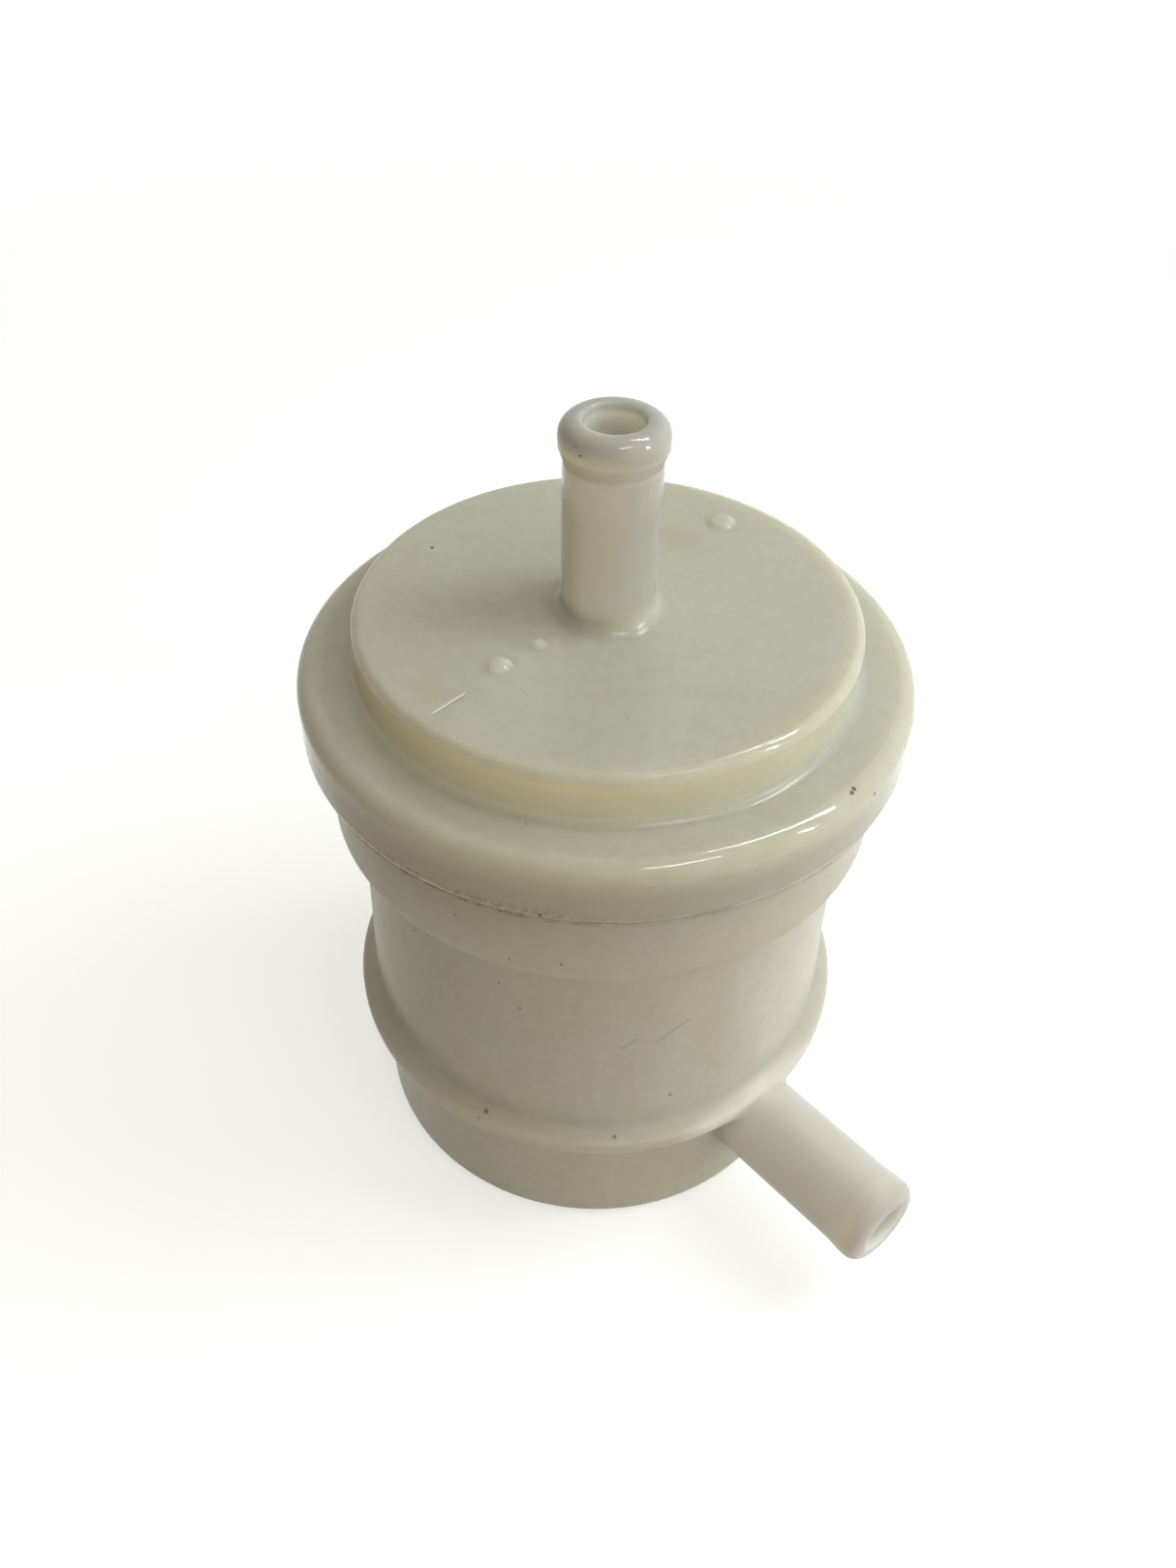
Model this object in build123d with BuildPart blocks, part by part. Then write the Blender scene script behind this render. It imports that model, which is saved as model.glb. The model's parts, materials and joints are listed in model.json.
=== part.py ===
from build123d import *
import os

# In-line fuel filter for a small engine: a welded nylon case around a pleated paper element.
# Fuel enters the bowl through the side nipple, passes inwards through the paper, rises inside
# the centre tube and leaves through the nipple on top of the cover.
# The origin is the centre of the foot, +Z runs up the case and +X along the inlet nipple.
# All sizes are in millimetres. A "width" is measured along a radius.

# ------------------------------------------------------------------ bowl, outside
body_dia = 44.7  # at the collar
body_height = 26.1  # shoulder's foot to the collar's underside
body_flare = 0.4  # width that the body gains on the way down to the shoulder
base_height = 13.8
base_inset = 0.2  # the base's foot against the body, as a width
base_draft = 0.3  # width that the base gains on the way up
foot_round = 1.4
shoulder_width = 2.0
shoulder_height = 2.3
shoulder_slope = 1.3  # rise of the sloping ledge on top of the shoulder
shoulder_under_round = 1.3
shoulder_edge_round = 0.5
shoulder_root_round = 1.0
collar_width = 2.25
collar_height = 8.8  # the part that shows below the cover
collar_round = 0.7
collar_root_round = 0.6

# ------------------------------------------------------------------ bowl, inside
body_wall = 2.1
bowl_floor = 2.0
floor_round = 1.2
collar_wall = 1.9
collar_floor = 2.2  # thickness of the step inside the collar

rib_count = 4
rib_thickness = 1.6
rib_reach = 12.0  # length along the floor
rib_height = 3.6  # bowl's floor to the element's lower plate
rib_lip = 3.0  # the part that stands beside the plate
rib_gap = 0.2  # between the lip and the plate

# ------------------------------------------------------------------ cover
skirt_wall = 1.9
skirt_foot_round = 1.1
flange_height = 6.2
flange_round = 1.5
ledge_width = 5.0
plateau_height = 4.6
plateau_round = 0.8
plateau_root_round = 0.8
cover_wall = 2.0
lap_gap = 0.05  # between the skirt and the collar that it slides over
bead_width = 0.6  # flash of the weld, under the skirt
bead_height = 0.5
bead_round = 0.4

gate_height = 0.3  # low stubs left by the moulding
gate_taper = 60.0
gate_round = 0.4
near_gates = [(8.2, -88.0, 2.4), (4.0, -88.0, 1.6)]  # out from the outlet's wall, angle, diameter
far_gates = [(4.7, 100.0, 2.8)]  # in from the plateau's edge, angle, diameter

# ------------------------------------------------------------------ hose nipples
nipple_bore = 4.8
bead_dia = 8.8  # swelling at each tip, which holds the hose
bead_land = 0.8
bead_slope = 1.2
tip_round = 1.4
mouth_round = 0.4
mouth_land = 0.05  # flat that is kept between the tip's round and the mouth's
outlet_dia = 8.0
outlet_length = 17.2  # plateau to tip
outlet_root_round = 1.1
inlet_dia = 8.5
inlet_length = 17.6  # body to tip
inlet_drop = 2.4  # shoulder's foot down to the inlet's axis
inlet_root_round = 0.6

# ------------------------------------------------------------------ outlet spigot and its seal
spigot_wall = 2.2
spigot_tail = 1.2  # length below the element's upper plate
boss_drop = 1.6
seal_wall = 2.4
seal_flange_width = 1.2
seal_flange_height = 1.0
seal_gap = 0.05
neck_height = 3.0
neck_wall = 1.2

# ------------------------------------------------------------------ filter element
plate_dia = 32.0
plate_floor = 1.0
plate_rim = 0.8
plate_rim_height = 3.0
plate_hole_gap = 0.7  # round the spigot
glue_depth = 1.5
glue_gap = 0.05

tube_clearance = 1.3  # spigot to the centre tube's bore
tube_wall = 1.0
window_width = 3.2
window_height = 5.0
window_rows = 5
window_columns = 6

pleats = 24
paper_thickness = 0.4
fold_width = 1.25  # across one fold, outside
fold_outer_gap = 0.4  # to the plates' rims
fold_inner_gap = 0.2  # to the centre tube

clip_thickness = 0.3
clip_gap = 0.02
clip_depth = 3.0
clip_end_gap = 0.5

# ------------------------------------------------------------------ radii that follow
body_r = body_dia / 2
body_foot_r = body_r + body_flare
base_foot_r = body_r - base_inset
base_top_r = base_foot_r + base_draft
shoulder_r = body_r + shoulder_width
collar_r = body_r + collar_width
flange_r = collar_r + skirt_wall
plateau_r = flange_r - ledge_width
bowl_bore_r = body_r - body_wall
collar_bore_r = collar_r - collar_wall
cover_bore_r = plateau_r - cover_wall
wall_middle_r = bowl_bore_r + body_wall / 2

bore_r = nipple_bore / 2
bead_r = bead_dia / 2
mouth_fillet = min(mouth_round, bead_r - tip_round - bore_r - mouth_land)
outlet_r = outlet_dia / 2
inlet_r = inlet_dia / 2
gates = [(outlet_r + out, gate_angle, gate_dia) for out, gate_angle, gate_dia in near_gates]
gates += [(plateau_r - inset, gate_angle, gate_dia) for inset, gate_angle, gate_dia in far_gates]
spigot_r = bore_r + spigot_wall
seal_r = spigot_r + seal_wall
seal_flange_r = seal_r + seal_flange_width
neck_bore_r = seal_r + seal_gap

plate_r = plate_dia / 2
glue_r = plate_r - plate_rim - glue_gap
tube_bore_r = spigot_r + tube_clearance
tube_r = tube_bore_r + tube_wall
fold_outer_r = plate_r - plate_rim - fold_outer_gap
fold_inner_r = tube_r + fold_inner_gap

# ------------------------------------------------------------------ heights that follow
floor_middle_z = bowl_floor / 2
shoulder_z = base_height
ledge_foot_z = shoulder_z + shoulder_height
wall_foot_z = ledge_foot_z + shoulder_slope
collar_z = shoulder_z + body_height
collar_step_z = collar_z + collar_floor
joint_z = collar_z + collar_height
ledge_z = joint_z + flange_height
rim_z = ledge_z - cover_wall
plateau_z = ledge_z + plateau_height
ceiling_z = plateau_z - cover_wall
outlet_z = plateau_z + outlet_length
inlet_z = shoulder_z - inlet_drop
inlet_x = body_r + inlet_length

boss_z = ceiling_z - boss_drop
neck_z = boss_z - seal_flange_height
upper_plate_z = neck_z - neck_height - plate_floor
upper_glue_z = upper_plate_z - glue_depth
lower_plate_z = bowl_floor + rib_height
lower_glue_z = lower_plate_z + plate_floor
paper_z = lower_glue_z + glue_depth
paper_height = upper_glue_z - paper_z
tube_height = upper_plate_z - lower_glue_z
spigot_z = upper_plate_z - spigot_tail


def outline(*corners):
    """A closed face through the given corners of a section."""
    with BuildLine() as edge:
        Polyline(*corners, close=True)
    make_face(edge.edges())


def soften(section, corner, radius):
    """Rounds the corner of a section that lies at, or nearest to, a place in it."""
    fillet(section.vertices().sort_by_distance((*corner, 0))[0], radius)


def turned(plane, angle):
    """A plane swung about the case's axis."""
    origin, x_dir, z_dir = (v.rotate(Axis.Z, angle) for v in (plane.origin, plane.x_dir, plane.z_dir))
    return Plane(origin=origin, x_dir=x_dir, z_dir=z_dir)


def ring(inner_r, outer_r, z, height):
    """A plain ring, or a disc where the inner radius is zero."""
    with BuildSketch(Plane.XY.offset(z)) as face:
        Circle(outer_r)
        if inner_r > 0:
            Circle(inner_r, mode=Mode.SUBTRACT)
    extrude(face.sketch, amount=height)


def folds(valley_r, crest_r, half_width):
    """The corners of a closed zigzag, one fold after the other round the axis."""
    side = [(valley_r, -half_width), (crest_r, -half_width)]
    one_fold = side + [(radius, -half) for radius, half in reversed(side)]
    return [Vector(*p).rotate(Axis.Z, i * 360 / pleats) for i in range(pleats) for p in one_fold]


def save(part, name):
    """Names a finished piece and writes its file."""
    part.label = name
    export_step(part, f"parts/{name}.step")


os.makedirs("parts", exist_ok=True)

# ------------------------------------------------------------------ bowl
with BuildPart() as bowl:
    with BuildSketch(Plane.XZ) as case_section:
        outline(
            (0, 0),
            (base_foot_r, 0),
            (base_top_r, shoulder_z),
            (shoulder_r, shoulder_z),
            (shoulder_r, ledge_foot_z),
            (body_foot_r, wall_foot_z),
            (body_r, collar_z),
            (collar_r, collar_z),
            (collar_r, rim_z),
            (0, rim_z),
        )
        soften(case_section, (base_foot_r, 0), foot_round)
        soften(case_section, (shoulder_r, shoulder_z), shoulder_under_round)
        soften(case_section, (shoulder_r, ledge_foot_z), shoulder_edge_round)
        soften(case_section, (body_foot_r, wall_foot_z), shoulder_root_round)
        soften(case_section, (body_r, collar_z), collar_root_round)
        soften(case_section, (collar_r, collar_z), collar_round)
    revolve(axis=Axis.Z)

    bead_x = inlet_x - tip_round - bead_land
    with BuildSketch(Plane.XZ) as inlet_section:
        outline(
            (0, inlet_z),
            (0, inlet_z + inlet_r),
            (bead_x - bead_slope, inlet_z + inlet_r),
            (bead_x, inlet_z + bead_r),
            (inlet_x, inlet_z + bead_r),
            (inlet_x, inlet_z),
        )
        soften(inlet_section, (inlet_x, inlet_z + bead_r), tip_round)
    revolve(axis=Axis((0, 0, inlet_z), (1, 0, 0)))
    fillet(bowl.edges().filter_by(GeomType.BSPLINE), inlet_root_round)  # where nipple meets case

    with BuildSketch(Plane.XZ) as cavity_section:
        outline(
            (0, bowl_floor),
            (bowl_bore_r, bowl_floor),
            (bowl_bore_r, collar_step_z),
            (collar_bore_r, collar_step_z),
            (collar_bore_r, rim_z),
            (0, rim_z),
        )
        soften(cavity_section, (bowl_bore_r, bowl_floor), floor_round)
    revolve(axis=Axis.Z, mode=Mode.SUBTRACT)

    with BuildSketch(Plane.YZ.offset(inlet_x)):
        with Locations((0, inlet_z)):
            Circle(bore_r)
    extrude(amount=-inlet_x, mode=Mode.SUBTRACT)
    tip_edges = bowl.edges().filter_by_position(Axis.X, inlet_x, inlet_x)
    fillet(tip_edges.sort_by(SortBy.RADIUS)[0], mouth_fillet)

    # ribs that carry the element, clear of the inlet
    with BuildSketch(*[turned(Plane.XZ, (i + 0.5) * 360 / rib_count) for i in range(rib_count)]):
        outline(
            (bowl_bore_r - rib_reach, floor_middle_z),
            (wall_middle_r, floor_middle_z),
            (wall_middle_r, lower_plate_z + rib_lip),
            (plate_r + rib_gap, lower_plate_z + rib_lip),
            (plate_r + rib_gap, lower_plate_z),
            (bowl_bore_r - rib_reach, lower_plate_z),
        )
    extrude(amount=rib_thickness / 2, both=True)
save(bowl.part, "bowl")

# ------------------------------------------------------------------ cover
with BuildPart() as cover:
    bead_z = outlet_z - tip_round - bead_land
    with BuildSketch(Plane.XZ) as cover_section:
        outline(
            (bore_r, spigot_z),
            (spigot_r, spigot_z),
            (spigot_r, boss_z),
            (seal_flange_r, boss_z),
            (seal_flange_r, ceiling_z),
            (cover_bore_r, ceiling_z),
            (cover_bore_r, rim_z),
            (collar_r + lap_gap, rim_z),
            (collar_r + lap_gap, joint_z),
            (flange_r, joint_z),
            (flange_r, ledge_z),
            (plateau_r, ledge_z),
            (plateau_r, plateau_z),
            (outlet_r, plateau_z),
            (outlet_r, bead_z - bead_slope),
            (bead_r, bead_z),
            (bead_r, outlet_z),
            (bore_r, outlet_z),
        )
        soften(cover_section, (flange_r, joint_z), skirt_foot_round)
        soften(cover_section, (flange_r, ledge_z), flange_round)
        soften(cover_section, (plateau_r, ledge_z), plateau_root_round)
        soften(cover_section, (plateau_r, plateau_z), plateau_round)
        soften(cover_section, (outlet_r, plateau_z), outlet_root_round)
        soften(cover_section, (bead_r, outlet_z), tip_round)
        soften(cover_section, (bore_r, outlet_z), mouth_fillet)
    revolve(axis=Axis.Z)

    for gate_radius, gate_angle, gate_dia in gates:
        gate_plane = turned(Plane.XY.offset(plateau_z).move(Location((gate_radius, 0, 0))), gate_angle)
        with BuildSketch(gate_plane):
            Circle(gate_dia / 2)
        extrude(amount=gate_height, taper=gate_taper)
    for gate_edge_z in (plateau_z, plateau_z + gate_height):
        level_edges = cover.edges().filter_by_position(Axis.Z, gate_edge_z, gate_edge_z)
        fillet(level_edges.filter_by(lambda edge: edge.radius < outlet_r), gate_round)
save(cover.part, "cover")

# ------------------------------------------------------------------ flash of the weld, under the skirt
with BuildPart() as weld_bead:
    bead_inner_r = collar_r + lap_gap
    with BuildSketch(Plane.XZ) as bead_section:
        outline(
            (bead_inner_r, joint_z),
            (bead_inner_r + bead_width, joint_z),
            (bead_inner_r + bead_width, joint_z - bead_height),
            (bead_inner_r, joint_z - bead_height),
        )
        soften(bead_section, (bead_inner_r + bead_width, joint_z - bead_height), bead_round)
    revolve(axis=Axis.Z)
save(weld_bead.part, "weld_bead")

# ------------------------------------------------------------------ seal between spigot and element
with BuildPart() as outlet_seal:
    ring(spigot_r + seal_gap, seal_r, upper_plate_z + plate_floor, neck_height)
    ring(spigot_r + seal_gap, seal_flange_r, neck_z, seal_flange_height)
save(outlet_seal.part, "outlet_seal")

# ------------------------------------------------------------------ end plates of the element
with BuildPart() as upper_end_plate:
    ring(spigot_r + plate_hole_gap, plate_r, upper_plate_z, plate_floor)
    ring(plate_r - plate_rim, plate_r, upper_plate_z - plate_rim_height, plate_rim_height)
    ring(neck_bore_r, neck_bore_r + neck_wall, upper_plate_z + plate_floor, neck_height)
save(upper_end_plate.part, "upper_end_plate")

with BuildPart() as lower_end_plate:
    ring(0, plate_r, lower_plate_z, plate_floor)
    ring(plate_r - plate_rim, plate_r, lower_glue_z, plate_rim_height)
save(lower_end_plate.part, "lower_end_plate")

# ------------------------------------------------------------------ glue that bonds paper to plates
with BuildPart() as upper_glue:
    ring(tube_r + glue_gap, glue_r, upper_glue_z, glue_depth)
save(upper_glue.part, "upper_glue")

with BuildPart() as lower_glue:
    ring(tube_r + glue_gap, glue_r, lower_glue_z, glue_depth)
save(lower_glue.part, "lower_glue")

# ------------------------------------------------------------------ perforated centre tube
with BuildPart() as center_tube:
    ring(tube_bore_r, tube_r, lower_glue_z, tube_height)
    middle = Plane.YZ.move(Location((0, 0, paper_z + paper_height / 2)))
    with BuildSketch(*[turned(middle, i * 360 / window_columns) for i in range(window_columns)]):
        with GridLocations(0, paper_height / window_rows, 1, window_rows):
            SlotOverall(window_height, window_width, rotation=90)
    extrude(amount=tube_r, mode=Mode.SUBTRACT)
save(center_tube.part, "center_tube")

# ------------------------------------------------------------------ pleated paper
with BuildPart() as filter_paper:
    with BuildSketch(Plane.XY.offset(paper_z)):
        outline(*folds(fold_inner_r + paper_thickness, fold_outer_r, fold_width / 2))
        with BuildSketch(mode=Mode.SUBTRACT):
            outline(*folds(fold_inner_r, fold_outer_r - paper_thickness, fold_width / 2 - paper_thickness))
    extrude(amount=paper_height)
save(filter_paper.part, "filter_paper")

# ------------------------------------------------------------------ clip where the paper's ends meet
with BuildPart() as seam_clip:
    clip_plane = turned(Plane.XY.offset(paper_z + clip_end_gap), (pleats // 2) * 360 / pleats)
    clip_half = fold_width / 2 + clip_gap
    with BuildSketch(clip_plane):
        outline(
            (fold_outer_r - clip_depth, clip_half),
            (fold_outer_r + clip_gap, clip_half),
            (fold_outer_r + clip_gap, -clip_half),
            (fold_outer_r - clip_depth, -clip_half),
            (fold_outer_r - clip_depth, -clip_half - clip_thickness),
            (fold_outer_r + clip_gap + clip_thickness, -clip_half - clip_thickness),
            (fold_outer_r + clip_gap + clip_thickness, clip_half + clip_thickness),
            (fold_outer_r - clip_depth, clip_half + clip_thickness),
        )
    extrude(amount=paper_height - 2 * clip_end_gap)
save(seam_clip.part, "seam_clip")
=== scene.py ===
import json
import math

import bmesh
import bpy
from bpy.props import FloatProperty, FloatVectorProperty, IntProperty, PointerProperty
from mathutils import Matrix, Vector


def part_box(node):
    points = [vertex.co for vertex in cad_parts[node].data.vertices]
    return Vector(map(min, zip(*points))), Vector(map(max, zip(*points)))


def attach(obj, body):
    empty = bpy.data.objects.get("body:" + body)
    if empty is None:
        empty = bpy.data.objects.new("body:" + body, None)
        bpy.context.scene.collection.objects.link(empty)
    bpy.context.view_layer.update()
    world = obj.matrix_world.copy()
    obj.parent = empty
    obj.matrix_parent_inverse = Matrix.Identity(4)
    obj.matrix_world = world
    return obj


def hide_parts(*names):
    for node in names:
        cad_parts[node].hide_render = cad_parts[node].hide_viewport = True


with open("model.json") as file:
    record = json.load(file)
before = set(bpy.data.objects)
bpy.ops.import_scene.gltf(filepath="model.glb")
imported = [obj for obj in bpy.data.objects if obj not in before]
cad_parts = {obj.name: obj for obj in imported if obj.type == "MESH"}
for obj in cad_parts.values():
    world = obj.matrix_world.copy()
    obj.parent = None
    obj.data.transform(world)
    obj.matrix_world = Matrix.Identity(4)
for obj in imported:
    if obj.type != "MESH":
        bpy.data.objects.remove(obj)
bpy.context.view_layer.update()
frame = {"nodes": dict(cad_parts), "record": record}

bl_info = {
    "name": "Fuel Filter",
    "version": (1, 0, 0),
    "blender": (4, 5, 0),
    "location": "3D View > Sidebar > Fuel Filter",
    "description": "Finishes a welded nylon in-line fuel filter and lights it on a plain floor",
    "category": "Object",
}

MM = 0.001
FLOOR_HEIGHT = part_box("bowl")[0][2]
WELD_RADIUS, WELD_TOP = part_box("weld_bead")[1][0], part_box("weld_bead")[1][2]
INLET_HEIGHT = next(mount["pos_m"][2] for mount in frame["record"]["mounts"] if mount["name"] == "inlet")

# Zones of the case in which the nylon has a shade of its own: painted shade on the skirt, the rounded edges, the
# shoulder, the nipples' tips and the outlet's window side, painted light at the top's foot, on the nipples and in the
# bores, and the weld's browning in weld and crumbs. Each measure fades in from its first value to its second, in
# millimetres: radius and height are taken from the case's axis and floor, x along the inlet, bore from the inlet's own
# axis and weld from the height of the weld.
INLET = (("x", 22.0, 25.0), ("height", 18.0, 17.0))
OUTLET = (("height", 60.0, 62.0),)
OUTSIDE = (("radius", 23.0, 24.0),)
ZONES = {
    "skirt": (("radius", 25.0, 26.5), ("height", 54.0, 51.5)),
    "top_edge": (("radius", 20.2, 21.2), ("height", 58.2, 59.2)),
    "flange_edge": (("radius", 24.6, 26.0), ("height", 53.0, 54.2)),
    "top_foot": (("radius", 21.2, 21.6), ("radius", 24.5, 22.5), ("height", 54.6, 55.4), ("height", 59.3, 58.2)),
    "shoulder": (("height", 14.0, 15.5), ("height", 17.6, 16.5), ("radius", 22.6, 23.4)),
    "inlet": INLET,
    "inlet_bore": (("bore", 2.75, 2.45), *INLET),
    "inlet_tip_painted_shade": (("x", 37.6, 39.6), *INLET),
    "outlet": OUTLET,
    "outlet_bore": (("radius", 2.75, 2.45), ("height", 76.5, 75.7), *OUTLET),
    "outlet_neck_painted_light": (("height", 72.6, 73.4), ("height", 74.9, 74.3)),
    "outlet_tip_painted_shade": (("height", 74.4, 76.2),),
    "outside": OUTSIDE,
    "weld": (("weld", 7.0, 0.5), *OUTSIDE),
    "crumbs": (("weld", 2.4, 0.3),),
}
# Shades that change from one side to the other: where they start and end, in millimetres towards the hot side of the
# weld, and for the inlet's underside slantwise across the inlet's axis. The HOT limits place the weld's browning, the
# FAR limits place painted light and shade, and the inlet's underside limits place its painted light.
HOT_SIDE = (-6.0, 18.0)
HOT_FLASH = (-4.0, 16.0)
HOT_LUMPS = (-6.0, 14.0)
FAR_SIDE = (-20.0, 20.0)
FAR_OUTLET = (-3.4, 4.6)
INLET_UNDERSIDE = (2.0, -4.5)

# marks in the nylon: distance from the axis, turn in degrees and height, then half width, in millimetres
COVER_SPECKS = (
    (17.5, -160, 59.5, 0.22),
    (25.5, 6, 54.8, 0.26),
    (25.6, 5, 54.7, 0.26),
    (26.5, 10, 53.6, 0.22),
    (4.2, -86, 75.9, 0.11),
    (4.2, -83, 75.9, 0.1),
    (4.4, -78, 75.4, 0.14),
    (26.5, -53, 49.7, 0.25),
)
BOWL_SPECKS = (
    (24.6, -60, 41.5, 0.18),
    (24.6, -50, 42, 0.2),
    (24.6, -71, 44.5, 0.18),
    (22.4, -65, 35, 0.18),
    (22.4, -89, 35.5, 0.24),
    (22.5, -60, 32.5, 0.22),
    (22.7, -25, 20.5, 0.24),
    (23.8, -38, 16.6, 0.26),
    (23.6, -68, 16.7, 0.32),
    (24.2, -69, 16.1, 0.18),
)
HAIRLINES = (
    ((22.55, -37, 28.5), (22.55, -34, 29.5)),
    ((22.55, -29, 29), (22.55, -22, 31)),
)
# painted shadows on the flat top beside its moulding gates: distance from the axis, turn in degrees, height and reach,
# in millimetres
PAINTED_GATE_SHADOWS = ((12.5, 107, 59.5, 2.6), (18.5, -91, 59.5, 1.8))
HAIRLINE_WIDTH = 0.24

# patterns of the finishes: distance between their features, and depth of what shows as relief
CLOUD_SIZE = 16 * MM
MOTTLE_SIZE = 1.2 * MM
CRUMB_SIZE = 0.5 * MM
GRAIN_SPACING = 4 * MM
GRAIN_SIZE = 0.13 * MM
GRAINS_FILLED = 0.2
RIPPLE_SIZE = 6 * MM
PEEL_SIZE = 0.7 * MM
SKIN_DEPTH = 0.05 * MM
BURNT_SIZE = 0.9 * MM
MOULD_DEPTH = 0.02 * MM

DAYLIGHT = (0.85, 0.94, 1.0)
LAMPLIGHT = (1.0, 0.96, 0.90)
WHITE = (1.0, 1.0, 1.0)
# lamps: name, azimuth, elevation, distance, size, tint, setting that holds the power, and turn of the long side
LAMPS = (
    ("window", 4, 50, 0.25, (0.16, 0.13), DAYLIGHT, "window_power", 36),
    ("side_fill", 2, 12, 0.6, (0.3, 0.3), DAYLIGHT, "side_power", 0),
    ("front_fill", -62, 18, 0.9, (0.9, 0.9), LAMPLIGHT, "fill_power", 0),
    ("back_fill", 112, 28, 0.9, (0.9, 0.9), LAMPLIGHT, "back_power", 0),
)
PANE_DISTANCE = 1.0
CLIP = (0.01, 10.0)
# panes that only show as reflections: name, azimuth, elevation, size, share of the gleam and turn of the long side
PANES = (
    ("long_pane", 26, 55, (0.80, 0.05), 1.0, -20),
    ("thin_pane", -16, 30, (0.30, 0.03), 0.4, -20),
    ("short_pane", -48, 63, (0.36, 0.08), 0.35, 53),
    ("low_pane", -22, 4, (0.36, 0.06), 0.04, -112),
)


# ------------------------------------------------------------------ settings


def colour(name, description, default):
    """A colour setting, written in linear light."""
    return FloatVectorProperty(
        name=name, description=description, default=default, subtype="COLOR", size=3, min=0.0, max=1.0
    )


def length(name, description, default):
    """A length setting, written in millimetres and kept in metres."""
    return FloatProperty(name=name, description=description, default=default * MM, unit="LENGTH", precision=5)


def angle(name, description, default):
    """An angle setting, written in degrees and kept in radians."""
    return FloatProperty(name=name, description=description, default=math.radians(default), subtype="ANGLE")


def power(name, description, default):
    """A lamp's power in watts."""
    return FloatProperty(name=name, description=description, default=default, min=0.0, unit="POWER")


def share(name, description, default):
    """A plain number between nothing and all."""
    return FloatProperty(name=name, description=description, default=default, min=0.0, max=1.0, subtype="FACTOR")


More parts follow.
